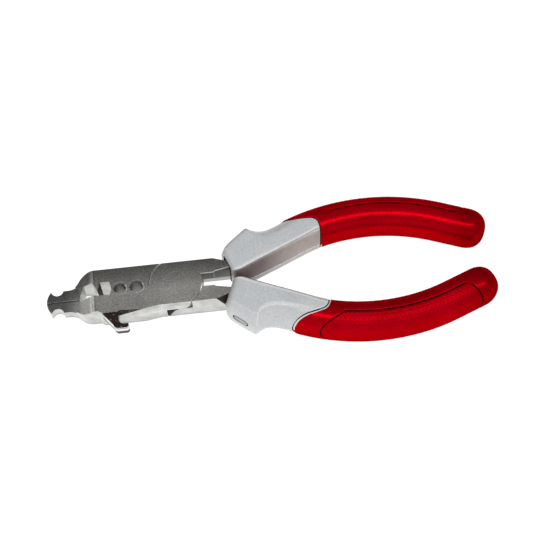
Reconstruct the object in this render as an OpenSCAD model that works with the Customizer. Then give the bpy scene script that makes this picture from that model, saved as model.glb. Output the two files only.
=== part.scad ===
// Crimping pliers with a lap joint, a string-spreading nose, crimping holes and two-colour grips.
// Units are millimetres. The pivot axis is Z and the origin lies on it, on the back face of the joint.
// The jaws point to -X, the handles to +X, and +Z is the front face. The jaws are drawn closed.

/* [Joint] */
// Thickness of the joint and of the jaws
joint_t = 11.9; // [10:0.1:14]
// Half of the width across the joint and the jaws
joint_half_w = 9; // [8.6:0.1:9.3]
// Radius of the lap disc on the front half
front_disc_r = 10.4; // [10.2:0.1:10.8]
// Radius of the lap disc on the rear half
rear_disc_r = 9.8; // [9.5:0.1:10]
// Radius of the pivot rivet's shank
rivet_r = 3.6; // [3:0.1:4]

/* [Jaws] */
// Distance from the pivot to the foremost point of the nose
nose_reach = 52.2; // [51.5:0.1:54]
// Thickness of the thin nose
nose_t = 4.8; // [4:0.1:6]
// Half of the width of the nose across its lobes and its neck
nose_half_w = 4.77; // [4.5:0.05:5]
// Distance from the pivot to the top of the bevel down to the nose
bevel_top_x = 32.4; // [32.2:0.1:32.8]
// Depth of the two angular sockets in the upper jaw
upper_socket_depth = 3.6; // [3.2:0.1:4]
// Depth of the channel opposite them in the lower jaw
lower_socket_depth = 2.45; // [2.2:0.05:2.8]
// Radius of the smaller crimping hole
small_hole_r = 2.25; // [2:0.05:2.4]
// Radius of the larger crimping hole
large_hole_r = 2.5; // [2.3:0.05:2.7]

/* [Handles] */
// Angle between each handle's front stretch and the tool's axis
handle_angle = 21.3; // [20.5:0.1:22]
// Radius of the bend along the handle's centre line
bend_r = 80; // [78:1:84]
// Length of the straight stretch in front of the bend
front_len = 31; // [30:0.5:32]
// Length of the straight stretch behind the bend
rear_len = 19.7; // [18:0.1:23]
// Half of the grip's width, in the plane of the tool
grip_half_w = 7.5; // [7:0.1:8]
// Half of the grip's thickness
grip_half_t = 8.3; // [7.6:0.1:8.8]
// Half of the collar's thickness
collar_half_t = 8.7; // [8:0.1:9]
// Half of the steel tang's width
tang_half_w = 2.1; // [1.8:0.1:2.3]
// Half of the steel tang's thickness, inside the handle
tang_half_t = 4.5; // [4:0.1:5]
// Wall of the black core sleeve around the tang
sleeve_wall = 1.6; // [1.2:0.1:2]
// Thickness of the textured pad let into the grip
pad_t = 1.3; // [1:0.1:1.6]

/* [Hidden] */
$fn = 72;

steel = [0.62, 0.62, 0.60];
bright_steel = [0.80, 0.81, 0.80];
core_black = [0.08, 0.08, 0.08];
collar_grey = [0.74, 0.73, 0.71];
grip_red = [0.78, 0.03, 0.10];
pad_red = [0.62, 0.02, 0.12];

mid_z = joint_t / 2;
eps = 0.5;             // how far a cutting body runs past the face that it cuts
big = 60;              // size of the bodies that cut by a plane
lap_gap = 0.05;        // each lap face stands this far from the middle plane
face_gap = 0.06;       // each jaw face stands this far from the parting plane
disc_clear = 0.3;      // between a lap disc and the pocket that it turns in
pin_clear = 0.05;      // running clearance around the rivet
disc_cone = 0.9;       // a lap disc is this much smaller at its lap face

// Nose outline
tip_r = 7;
notch_r = 2.53;
notch_x = 47.9;
notch_y = nose_half_w + 0.62;
neck_end_x = 43.6;
flank_end_x = 34.2;
bevel_break = [33.7, 11.45];
bevel_foot_x = 41.6;
bevel_fillet_r = 3;
pocket_r = 8.3;
pocket_reach_x = 38.5;

// Holes between the jaws
socket_front_x = 38.4;
socket_ridge_x = 31.1;
socket_rear_x = 25.5;
small_hole_x = 22.05;
large_hole_x = 15.5;
hole_chamfer = 0.4;

// Arms between the joint and the handles
arm_inner_y = 2.9;
arm_step_y = 4.5;
arm_step_x = 10.9;
arm_corner_x = 15.4;

// Boss and hook on the lower jaw
boss_out = 1;
hook_z = [6, 11.3];
hook_corner_r = 1.8;

// Rivet heads, ground flush with both faces
head_r = 4.8;
head_h = 1.3;

// Handle stations, measured along the centre line from the collar's front rim
bend_len = 2 * handle_angle * PI / 180 * bend_r;
handle_len = front_len + bend_len + rear_len;
bend_start = [50, 17.75];
bend_centre = bend_start + bend_r * [sin(handle_angle), -cos(handle_angle)];
tang_len = 60;
sleeve_start = 4;
sleeve_len = 104;
cap_len = 8.5;
seam_gap = 0.35;
seam_outer_s = 27.3;
seam_inner_s = 39.5;
seam_lean = 0.1;       // sideways lean of the seam, along Y for each unit of Z
pad_start_s = 35;
pad_end_s = 101;
pad_edge_n = 0.8;
pad_lean = 0.19;
badge_straight = 3.4;
badge_r = 1.9;
shell_sides = 24;

// Distance from the centre line to the outer side: a finger guard, a saddle, then the grip
outer_table = [
    [0, 5.7], [0.8, 6.6], [2.5, 7.7], [5, 8.7], [9, 10], [12.6, 11], [13.6, 11.2], [14.6, 10.8],
    [16, 9.5], [18, 8.3], [20.5, 7.6], [24, 7.4], [30, 7.4], [42, grip_half_w]
];
inner_table = [
    [0, 6.2], [0.8, 6.95], [2.5, 7.75], [6, 8.4], [12, 8.4], [20, 8.2], [30, 7.7], [42, grip_half_w]
];
// Station of the seam between collar and grip, against the distance to the outer side
seam_table = [[-2.2, seam_inner_s], [-0.4, 38.6], [1.8, 34.6], [4.5, 30.3], [6.4, 28.5]];
// Exponent of the section: boxy at the collar, rounder at the grip
power_table = [[0, 3.4], [24, 3.4], [42, 2.5], [60, 2.4]];
thick_table = [
    [0, collar_half_t - 2], [0.8, collar_half_t - 1], [2.5, collar_half_t - 0.3],
    [5, collar_half_t], [26, collar_half_t], [42, grip_half_t]
];
stations = concat(
    [0, 0.8, 2.5, 5, 9, 12.6, 13.6, 14.6, 16, 18, 20.5, 24],
    [for (s = [28 : 4 : handle_len - cap_len]) s],
    [for (u = [0, 0.3, 0.5, 0.68, 0.82, 0.92, 0.98]) handle_len - cap_len * (1 - u)]
);

function heading(s) =
    s < front_len ? handle_angle
    : s < front_len + bend_len ? handle_angle - (s - front_len) / bend_r * 180 / PI
    : -handle_angle;

// Point at station s, n to the outer side of the centre line
function plan(s, n) =
    let (
        h = heading(s),
        along = s < front_len ? s - front_len : max(0, s - front_len - bend_len),
        foot = bend_centre + bend_r * [-sin(h), cos(h)] + along * [cos(h), sin(h)]
    )
    foot + n * [-sin(h), cos(h)];

// Closed strip along the centre line from station a to station b
function strip(a, b, half_w) = concat(
    [for (i = [0 : 32]) plan(a + (b - a) * i / 32, half_w)],
    [for (i = [32 : -1 : 0]) plan(a + (b - a) * i / 32, -half_w)]
);

// The rounded end: 1 along the grip, falling to nearly 0 at its tip
function end_taper(s) =
    let (u = (s - handle_len + cap_len) / cap_len)
    u <= 0 ? 1 : pow(1 - pow(u, 2.4), 1 / 2.4);

function power_cos(a, p) = sign(cos(a)) * pow(abs(cos(a)), 2 / p);
function power_sin(a, p) = sign(sin(a)) * pow(abs(sin(a)), 2 / p);

function shell_ring(s, inset) =
    let (
        k = end_taper(s),
        outer = lookup(s, outer_table) - inset,
        inner = lookup(s, inner_table) - inset,
        mid = (outer - inner) / 2,
        half_w = (outer + inner) / 2 * k,
        half_t = (lookup(s, thick_table) - inset) * k,
        power = lookup(s, power_table)
    )
    [for (i = [0 : shell_sides - 1])
        let (
            a = 360 * i / shell_sides,
            p = plan(s, mid + half_w * power_cos(a, power))
        )
        [p.x, p.y, mid_z + half_t * power_sin(a, power)]];

function concave(t, r) = [-neck_end_x + r * sin(t), nose_half_w + r * (1 - cos(t))];
function convex(t, r) = [-flank_end_x - r * sin(t), joint_half_w - r * (1 - cos(t))];

// Half of the nose and jaw outline, from the tip back to the pivot, on the +Y side
function jaw_outline() =
    let (
        dx = neck_end_x - flank_end_x,
        dy = joint_half_w - nose_half_w,
        r = (dx * dx + dy * dy) / (4 * dy),
        turn = asin(dx / 2 / r),
        lobe = asin(nose_half_w / tip_r)
    )
    concat(
        [for (i = [0 : 8]) [tip_r - nose_reach, 0] + tip_r * [-cos(lobe * i / 8), sin(lobe * i / 8)]],
        [for (i = [0 : 6]) concave(turn * i / 6, r)],
        [for (i = [5 : -1 : 0]) convex(turn * i / 6, r)],
        [[0, joint_half_w], [0, 0]]
    );

// Profile, along X and Z, of what the bevel takes off above the nose
function bevel_profile() =
    let (
        slope = atan2(bevel_break.y - nose_t, bevel_foot_x - bevel_break.x),
        reach = bevel_fillet_r * tan(slope / 2)
    )
    concat(
        [[-nose_reach - 5, joint_t + 5], [-nose_reach - 5, nose_t]],
        [for (i = [0 : 6])
            [-bevel_foot_x - reach + bevel_fillet_r * sin(slope * i / 6),
                nose_t + bevel_fillet_r * (1 - cos(slope * i / 6))]],
        [[-bevel_break.x, bevel_break.y], [-bevel_top_x, joint_t], [-bevel_top_x, joint_t + 5]]
    );

// Removes everything beyond the plane through p, on the side that n points to
module beyond(p, n)
    translate(p)
        rotate([0, -asin(n.z / norm(n)), atan2(n.y, n.x)])
            translate([0, -big / 2, -big / 2])
                cube(big);

// Jaw on the +Y side, without its holes
module jaw() {
    difference() {
        linear_extrude(joint_t)
            polygon(jaw_outline());
        translate([0, 20, 0])
            rotate([90, 0, 0])
                linear_extrude(40)
                    polygon(bevel_profile());
        translate([-pocket_reach_x - pocket_r, 0, nose_t])
            cylinder(r = pocket_r, h = joint_t);
        translate([-notch_x, notch_y, -eps])
            cylinder(r = notch_r, h = joint_t);
        translate([-nose_reach - 5, -5, -eps])
            cube([nose_reach + 5, 5 + face_gap, joint_t + 2 * eps]);
    }
}

// Arm and tang on the -Y side
module arm() {
    difference() {
        linear_extrude(joint_t)
            polygon([
                [0, -joint_half_w], [arm_corner_x + 3, -joint_half_w],
                [20.6, -8.2], [24, -9.4], [24, -5.4], [22, -4.6],
                [15.7, -3.4], [15.1, -arm_inner_y], [0, -arm_inner_y]
            ]);
        translate([arm_step_x, -arm_step_y, -eps])
            cube([big, big, mid_z + eps]);
        beyond([arm_corner_x, -joint_half_w, joint_t], [0.32, -0.934, 0.164]);
    }
    translate([0, 0, mid_z - tang_half_t])
        linear_extrude(2 * tang_half_t)
            mirror([0, 1])
                polygon(strip(1, tang_len, tang_half_w));
}

// Disc that laps the other half, from its face at z = from up or down to the lap face
module lap_disc(r, front) {
    h = mid_z - lap_gap;
    intersection() {
        translate([0, 0, front ? mid_z + lap_gap : 0])
            cylinder(r1 = front ? r - disc_cone : r, r2 = front ? r : r - disc_cone, h = h);
        translate([-big / 2, -joint_half_w, -eps])
            cube([big, 2 * joint_half_w, joint_t + 2 * eps]);
    }
}

module hole(x, r) {
    translate([-x, 0, -eps])
        cylinder(r = r, h = joint_t + 2 * eps);
    translate([-x, 0, joint_t - hole_chamfer])
        cylinder(r1 = r, r2 = r + hole_chamfer + eps, h = hole_chamfer + eps);
    translate([-x, 0, -eps])
        cylinder(r1 = r + hole_chamfer + eps, r2 = r, h = hole_chamfer + eps);
}

// Sockets in the upper jaw, with a ridge between them, and the channel opposite them in the lower jaw
module sockets()
    translate([0, 0, -eps])
        linear_extrude(joint_t + 2 * eps)
            polygon([
                [-socket_front_x, -0.1], [-socket_front_x, 0.6],
                [-socket_front_x + 1.7, upper_socket_depth + 0.2],
                [-socket_ridge_x - 1.8, upper_socket_depth], [-socket_ridge_x, 0.05],
                [-socket_ridge_x + 1.2, upper_socket_depth - 0.2],
                [-socket_rear_x - 0.7, upper_socket_depth - 0.2], [-socket_rear_x, 0.05],
                [-socket_rear_x, -0.1], [-socket_rear_x - 0.9, -lower_socket_depth],
                [-socket_front_x - 0.2, -lower_socket_depth + 0.75]
            ]);

module jaw_holes() {
    sockets();
    hole(small_hole_x, small_hole_r);
    hole(large_hole_x, large_hole_r);
}

// The rivet's outline turned about Z, with room added all round
module rivet_body(room, over)
    rotate_extrude()
        polygon([
            [0, -over], [head_r + room + over, -over], [head_r + room, 0],
            [rivet_r + room, head_h], [rivet_r + room, joint_t - head_h],
            [head_r + room, joint_t], [head_r + room + over, joint_t + over], [0, joint_t + over]
        ]);

module rear_half() color(steel)
    difference() {
        union() {
            jaw();
            arm();
            lap_disc(rear_disc_r, false);
        }
        translate([0, 0, mid_z - lap_gap])
            cylinder(r = front_disc_r + disc_clear, h = joint_t);
        jaw_holes();
        rivet_body(pin_clear, eps);
    }

module jaw_boss()
    linear_extrude(joint_t)
        polygon([
            [-31.2, -joint_half_w], [-29.7, -joint_half_w - boss_out],
            [-13.5, -joint_half_w - boss_out], [-7, -joint_half_w],
            [-7, -joint_half_w + 1], [-31.2, -joint_half_w + 1]
        ]);

module front_half() color(steel)
    difference() {
        union() {
            mirror([0, 1, 0]) {
                jaw();
                arm();
            }
            lap_disc(front_disc_r, true);
            difference() {
                jaw_boss();
                intersection() {
                    beyond([-13.5, -joint_half_w - boss_out, joint_t], [-0.0565, -0.989, 0.135]);
                    translate([-23.4, -20, 0])
                        cube([20, 20, 20]);
                }
            }
        }
        translate([0, 0, mid_z + lap_gap - joint_t])
            cylinder(r = rear_disc_r + disc_clear, h = joint_t);
        jaw_holes();
        rivet_body(0, eps);
    }

module pivot_rivet() color(bright_steel)
    rivet_body(0, 0);

// Hook blade on the side of the lower jaw, with its throat open towards the handles
module side_hook() color(bright_steel) {
    root_y = -joint_half_w - boss_out;
    translate([0, 0, hook_z[0]])
        linear_extrude(hook_z[1] - hook_z[0])
            difference() {
                union() {
                    polygon([
                        [-29.7, root_y], [-25.2, -15.7], [-23.6, -16.9], [-20.3, -16.9],
                        [-19.6, -16.2], [-19.6, -15.1], [-20, root_y - 1.5], [-20, root_y]
                    ]);
                    translate([-23.7, -15.1])
                        circle(hook_corner_r);
                }
                translate([-21.4, -13.2])
                    circle(1.9);
                translate([-23.3, -13.2])
                    square([8, 8]);
                translate([-21.4, -15.1])
                    square([8, 8]);
            }
}

// Closed outer form of a whole handle, on the +Y side
module shell(inset = 0) {
    rings = [for (s = stations) shell_ring(s, inset)];
    count = len(stations);
    n = shell_sides;
    polyhedron(
        points = [for (ring = rings) each ring],
        faces = concat(
            [[for (i = [0 : n - 1]) i]],
            [for (r = [0 : count - 2]) for (i = [0 : n - 1])
                each let (a = r * n + i, b = r * n + (i + 1) % n)
                    [[a, a + n, b], [b, a + n, b + n]]],
            [[for (i = [n - 1 : -1 : 0]) (count - 1) * n + i]]
        )
    );
}

// Leans its children towards +Y, k for each unit of height above the middle plane
module lean(k)
    multmatrix([[1, 0, 0, 0], [0, 1, k, -k * mid_z], [0, 0, 1, 0]])
        children();

// Everything behind the seam between the collar and the grip, moved back by shift
module behind_seam(shift)
    lean(seam_lean)
        translate([0, 0, -big / 2])
            linear_extrude(big)
                polygon(concat(
                    [plan(seam_outer_s + shift, 24), plan(seam_outer_s + shift, 7.5)],
                    [for (i = [0 : 4]) let (n = 6.4 - 2.15 * i)
                        plan(lookup(n, seam_table) + shift, n)],
                    [plan(seam_inner_s + shift, -12), [160, -20], [160, 70], [60, 70]]
                ));

module sleeve_space(end)
    translate([0, 0, mid_z - tang_half_t - sleeve_wall])
        linear_extrude(2 * (tang_half_t + sleeve_wall))
            polygon(strip(sleeve_start, end, tang_half_w + sleeve_wall));

// Mouth in the collar's front, wide enough to clear the arm
module collar_mouth()
    translate([0, 0, -0.9])
        linear_extrude(joint_t + 1.8)
            polygon(strip(-3, sleeve_start + 0.3, tang_half_w + 1.1));

// Band on the outer side of the grip that the pad is let into, with slanted ends
module pad_space() {
    steps = 24;
    outer = [for (i = [0 : steps]) pad_start_s + (pad_end_s - pad_start_s) * i / steps];
    inner = [for (i = [steps : -1 : 0]) pad_start_s + 10 + (pad_end_s - pad_start_s - 14.5) * i / steps];
    difference() {
        lean(pad_lean)
            translate([0, 0, -big / 2])
                linear_extrude(big)
                    polygon(concat(
                        [for (s = outer) plan(s, 14)],
                        [plan(pad_end_s, 5.5), plan(pad_end_s - 1.6, 2.3)],
                        [for (s = inner) plan(s, pad_edge_n)],
                        [plan(pad_start_s + 1.5, 7)]
                    ));
        shell(pad_t);
    }
}

// Oval badge plate on the front slope of the finger guard
module badge_plate(grow)
    translate([plan(7, 8.25).x, plan(7, 8.25).y, mid_z - 1.6])
        rotate([0, 0, handle_angle + 20])
            rotate([-90, 0, 0])
                for (part = [-1, 0, 1])
                    if (part == 0)
                        translate([-badge_straight / 2, -badge_r - grow, 0])
                            cube([badge_straight, 2 * (badge_r + grow), 3]);
                    else
                        translate([part * badge_straight / 2, 0, 0])
                            cylinder(r = badge_r + grow, h = 3);

module core_sleeve() color(core_black)
    difference() {
        sleeve_space(sleeve_len);
        translate([0, 0, mid_z - tang_half_t])
            linear_extrude(2 * tang_half_t)
                polygon(strip(sleeve_start - 1, tang_len, tang_half_w));
    }

module collar() color(collar_grey)
    difference() {
        shell();
        behind_seam(-seam_gap / 2);
        sleeve_space(sleeve_len);
        collar_mouth();
        badge_plate(0.05);
    }

module grip() color(grip_red)
    difference() {
        intersection() {
            shell();
            behind_seam(seam_gap / 2);
        }
        sleeve_space(sleeve_len);
        pad_space();
    }

module grip_pad() color(pad_red)
    intersection() {
        shell();
        pad_space();
    }

module badge() color(collar_grey)
    intersection() {
        badge_plate(0);
        shell(0.25);
    }

// The lower handle is the same moulding as the upper one, turned over about X
module turn_over()
    translate([0, 0, mid_z])
        rotate([180, 0, 0])
            translate([0, 0, -mid_z])
                children();

rear_half();
front_half();
pivot_rivet();
side_hook();
core_sleeve();  // upper_core_sleeve
collar();  // upper_collar
grip();  // upper_grip
grip_pad();  // upper_grip_pad
badge();  // upper_badge
turn_over() core_sleeve();  // lower_core_sleeve
turn_over() collar();  // lower_collar
turn_over() grip();  // lower_grip
turn_over() grip_pad();  // lower_grip_pad
turn_over() badge();  // lower_badge
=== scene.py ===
import math

import bmesh
import bpy
from mathutils import Matrix, Vector


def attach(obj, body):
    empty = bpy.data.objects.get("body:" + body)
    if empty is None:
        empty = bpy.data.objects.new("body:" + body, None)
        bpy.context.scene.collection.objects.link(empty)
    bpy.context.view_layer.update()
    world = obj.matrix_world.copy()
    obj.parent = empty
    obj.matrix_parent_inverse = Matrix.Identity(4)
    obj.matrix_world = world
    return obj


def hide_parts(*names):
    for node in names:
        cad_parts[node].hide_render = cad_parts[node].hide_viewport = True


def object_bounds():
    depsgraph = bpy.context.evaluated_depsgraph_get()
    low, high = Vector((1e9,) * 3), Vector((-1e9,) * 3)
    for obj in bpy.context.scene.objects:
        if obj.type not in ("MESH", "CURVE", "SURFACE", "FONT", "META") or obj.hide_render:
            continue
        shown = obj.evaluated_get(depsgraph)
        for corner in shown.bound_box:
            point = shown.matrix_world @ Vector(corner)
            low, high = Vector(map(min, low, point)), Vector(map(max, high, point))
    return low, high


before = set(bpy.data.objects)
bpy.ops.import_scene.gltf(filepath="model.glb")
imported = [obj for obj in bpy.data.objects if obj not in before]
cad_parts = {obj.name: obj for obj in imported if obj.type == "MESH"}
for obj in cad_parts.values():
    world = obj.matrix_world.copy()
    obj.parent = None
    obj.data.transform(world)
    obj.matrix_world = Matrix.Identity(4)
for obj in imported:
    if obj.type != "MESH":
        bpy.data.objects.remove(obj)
cad_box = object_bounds()

# Lengths in this script are millimetres, as in the part's source; MM turns them into metres.
MM = 0.001
MID = 5.95
SCENE = bpy.context.scene
SCENE.view_settings.view_transform = "Standard"


# ---------------------------------------------------------------- handle's centre line
ANGLE = math.radians(21.3)
BEND_R = 80.0
FRONT_LEN = 31.0
REAR_LEN = 19.7
BEND_LEN = 2 * ANGLE * BEND_R
HANDLE_LEN = FRONT_LEN + BEND_LEN + REAR_LEN
BEND_START = Vector((50, 17.75))
BEND_CENTRE = BEND_START + BEND_R * Vector((math.sin(ANGLE), -math.cos(ANGLE)))
CAP_LEN = 8.5
GRIP_W = 7.5
GRIP_T = 8.3
GRIP_POWER = 2.4
CAP_POWER = 2.4
COLLAR_T = 8.7
SEAM_GAP = 0.5
LIP = 0.5
PAD_DEPTH = 1.0
PAD_LEAN = 0.19

# Tables run along the handle: station, then the value there.
UPPER_OUTER = [
    (0, 5.2), (0.8, 6.0), (2.5, 7.3), (4.2, 8.0), (8, 9.3), (13.4, 11.0), (14.4, 11.0),
    (15.4, 10.4), (17.5, 8.7), (19.5, 7.8), (21.8, 7.4), (30, 7.4), (42, GRIP_W),
]
LOWER_OUTER = [
    (0, 6.1), (0.8, 7.2), (2.5, 8), (5, 8.9), (9, 10.2), (12.6, 11.2), (13.6, 11.3),
    (14.6, 10.6), (16, 9.3), (18, 8.2), (20.5, 7.6), (24, 7.4), (30, 7.4), (42, GRIP_W),
]
INNER = [
    (0, 6.2), (0.8, 6.9), (2.5, 7.65), (6, 8.35), (12, 8.4), (20, 8.2), (30, 7.7), (42, GRIP_W),
]
THICK = [(0, 6.9), (0.5, 7.6), (1.2, 8.2), (2.5, 8.6), (5, COLLAR_T), (26, COLLAR_T), (42, GRIP_T)]
RIDGE = [
    (0, 5.0), (0.6, 5.9), (2.6, 6.6), (5, 6.5), (8, 6.3), (12.6, 6.1), (20, 5.8), (28, 5.4), (33, 5.1),
    (39, 4.4),
]
PLATEAU = [
    (0, 3.0), (2.5, 4.2), (9, 5.8), (13.2, 7.0), (13.8, 6.6), (14.4, 4.9), (16, 3.4), (17.4, 2.55),
    (20.3, 1.35), (23.4, 0.8), (26.5, 0.4), (29, 0.25), (40, 0),
]
OUTER_POWER = [(0, 2.4), (12.6, 2.6), (14.4, 1.75), (16, 1.5), (25, 1.7), (33, 2.2), (40, 2.4)]
INNER_POWER = [(0, 1.35), (16, 1.35), (27, 1.5), (39.5, 1.7)]

# The seam's two tables run across the handle instead: place toward the outer side, then the seam's station.
FRONT_SEAM = [
    (-9, 38.2), (-6.6, 39.2), (-3.9, 40.0), (-1.8, 40.2), (-0.2, 39.95), (0.9, 39.1),
    (2.6, 34.7), (4.0, 31.2), (6.3, 28.9), (7.5, 27.6),
]
BACK_SEAM = [
    (-9, 38.1), (-6.6, 38.9), (-4.3, 39.0), (-2.5, 38.6), (-1.2, 37.4), (-0.3, 35.9),
    (1.0, 33.8), (2.2, 31.8), (4.1, 29.5), (5.9, 27.6), (7.1, 26.5), (7.5, 26.1),
]


def lookup(x, table):
    """Value of a table at x, on straight lines between its points."""
    if x <= table[0][0]:
        return table[0][1]
    for (x0, y0), (x1, y1) in zip(table, table[1:]):
        if x <= x1:
            return y0 + (y1 - y0) * (x - x0) / (x1 - x0)
    return table[-1][1]


def smooth(x, table, reach=0.9):
    """As lookup, but eased between the points by sampling a short way to both sides."""
    return sum(lookup(x + reach * k / 3, table) for k in range(-3, 4)) / 7


def plan(s, n):
    """Point in the tool's plane at station s of the upper handle, n to its outer side."""
    if s < FRONT_LEN:
        h = ANGLE
        along = s - FRONT_LEN
    elif s < FRONT_LEN + BEND_LEN:
        h = ANGLE - (s - FRONT_LEN) / BEND_R
        along = 0.0
    else:
        h = -ANGLE
        along = s - FRONT_LEN - BEND_LEN
    out = Vector((-math.sin(h), math.cos(h)))
    ahead = Vector((math.cos(h), math.sin(h)))
    return BEND_CENTRE + BEND_R * out + along * ahead + n * out


def at(s, n, w):
    """Point of the upper handle in metres: station, outer side, height over the middle plane."""
    p = plan(s, n)
    return Vector((p.x, p.y, MID + w)) * MM


def signed_power(x, e):
    return math.copysign(abs(x) ** e, x)


def end_taper(s):
    u = (s - HANDLE_LEN + CAP_LEN) / CAP_LEN
    return 1.0 if u <= 0 else max(0.0, 1 - min(u, 1.0) ** CAP_POWER) ** (1 / CAP_POWER)


def grip_point(s, a, push=0.0):
    """(n, w) of the grip's surface at angle a, pushed out along its normal."""
    k = end_taper(s)
    outer = lookup(s, UPPER_OUTER)
    inner = lookup(s, INNER)
    half_w = max((outer + inner) / 2 * k, 0.02)
    half_t = max(lookup(s, THICK) * k, 0.02)
    c = math.cos(a)
    d = math.sin(a)
    n = (outer - inner) / 2 * k + half_w * signed_power(c, 2 / GRIP_POWER)
    w = half_t * signed_power(d, 2 / GRIP_POWER)
    lean = 2 - 2 / GRIP_POWER
    normal = Vector((signed_power(c, lean) / half_w, signed_power(d, lean) / half_t))
    normal.normalize()
    return n + push * normal.x, w + push * normal.y


def seam_station(n, w):
    """Station of the seam between collar and grip, where the surface is at (n, w)."""
    front = smooth(n, FRONT_SEAM, 0.5)
    back = smooth(n, BACK_SEAM, 0.5)
    share = min(max(0.5 + w / (2 * GRIP_T), 0.0), 1.0)
    return back + (front - back) * share


def across_seam(n, w, width):
    """Step in station that gives a width measured square to the seam."""
    slope = (seam_station(n + 0.2, w) - seam_station(n - 0.2, w)) / 0.4
    return width * math.hypot(1.0, min(abs(slope), 2.0))


# ---------------------------------------------------------------- mesh helpers
def mesh_object(name, verts, faces, smooth_angle=40, slots=None, crest=None):
    """Mesh from points and faces; slots gives each face's material number, crest each point's painted
    highlight.
    """
    mesh = bpy.data.meshes.new(name)
    mesh.from_pydata([tuple(v) for v in verts], [], faces)
    if crest:
        wear = mesh.attributes.new("crest", "FLOAT", "POINT")
        for item, value in zip(wear.data, crest):
            item.value = value
    if slots:
        for poly, number in zip(mesh.polygons, slots):
            poly.material_index = number
    mesh.validate()
    obj = bpy.data.objects.new(name, mesh)
    SCENE.collection.objects.link(obj)
    clean_normals(mesh)
    shade(obj, smooth_angle)
    return obj


def clean_normals(mesh):
    bm = bmesh.new()
    bm.from_mesh(mesh)
    bmesh.ops.remove_doubles(bm, verts=bm.verts, dist=1e-7)
    bmesh.ops.recalc_face_normals(bm, faces=bm.faces)
    bm.to_mesh(mesh)
    bm.free()


def shade(obj, angle):
    """Smooth shading, with edges sharper than angle kept crisp."""
    mesh = obj.data
    for poly in mesh.polygons:
        poly.use_smooth = True
    mesh.set_sharp_from_angle(angle=math.radians(angle))


def ring_faces(rings, columns, closed=True):
    """Quads between rings of equal length, laid one after another in one list."""
    faces = []
    last = columns if closed else columns - 1
    for i in range(rings - 1):
        for j in range(last):
            a = i * columns + j
            b = i * columns + (j + 1) % columns
            faces.append((a, b, b + columns, a + columns))
    return faces


def turned_over(obj, name):
    """The lower handle's copy of an upper handle's piece, turned half round about X."""
    turn = (
        Matrix.Translation((0, 0, MID * MM))
        @ Matrix.Rotation(math.pi, 4, "X")
        @ Matrix.Translation((0, 0, -MID * MM))
    )
    mesh = obj.data.copy()
    mesh.transform(turn)
    copy = bpy.data.objects.new(name, mesh)
    SCENE.collection.objects.link(copy)
    return copy


def apply_modifiers(obj):
    bpy.context.view_layer.update()
    graph = bpy.context.evaluated_depsgraph_get()
    mesh = bpy.data.meshes.new_from_object(obj.evaluated_get(graph))
    obj.modifiers.clear()
    old = obj.data
    obj.data = mesh
    bpy.data.meshes.remove(old)


def cut(obj, cutter):
    mod = obj.modifiers.new("cut", "BOOLEAN")
    mod.operation = "DIFFERENCE"
    mod.solver = "EXACT"
    mod.object = cutter
    apply_modifiers(obj)
    bpy.data.objects.remove(cutter)


# ---------------------------------------------------------------- materials
SMALL_HOLE_X = -22.05
SMALL_HOLE_R = 2.25
LARGE_HOLE_X = -15.5
LARGE_HOLE_R = 2.5
HOLE_REACH = 3.4
FULL = (1, 1, 1)


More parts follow.
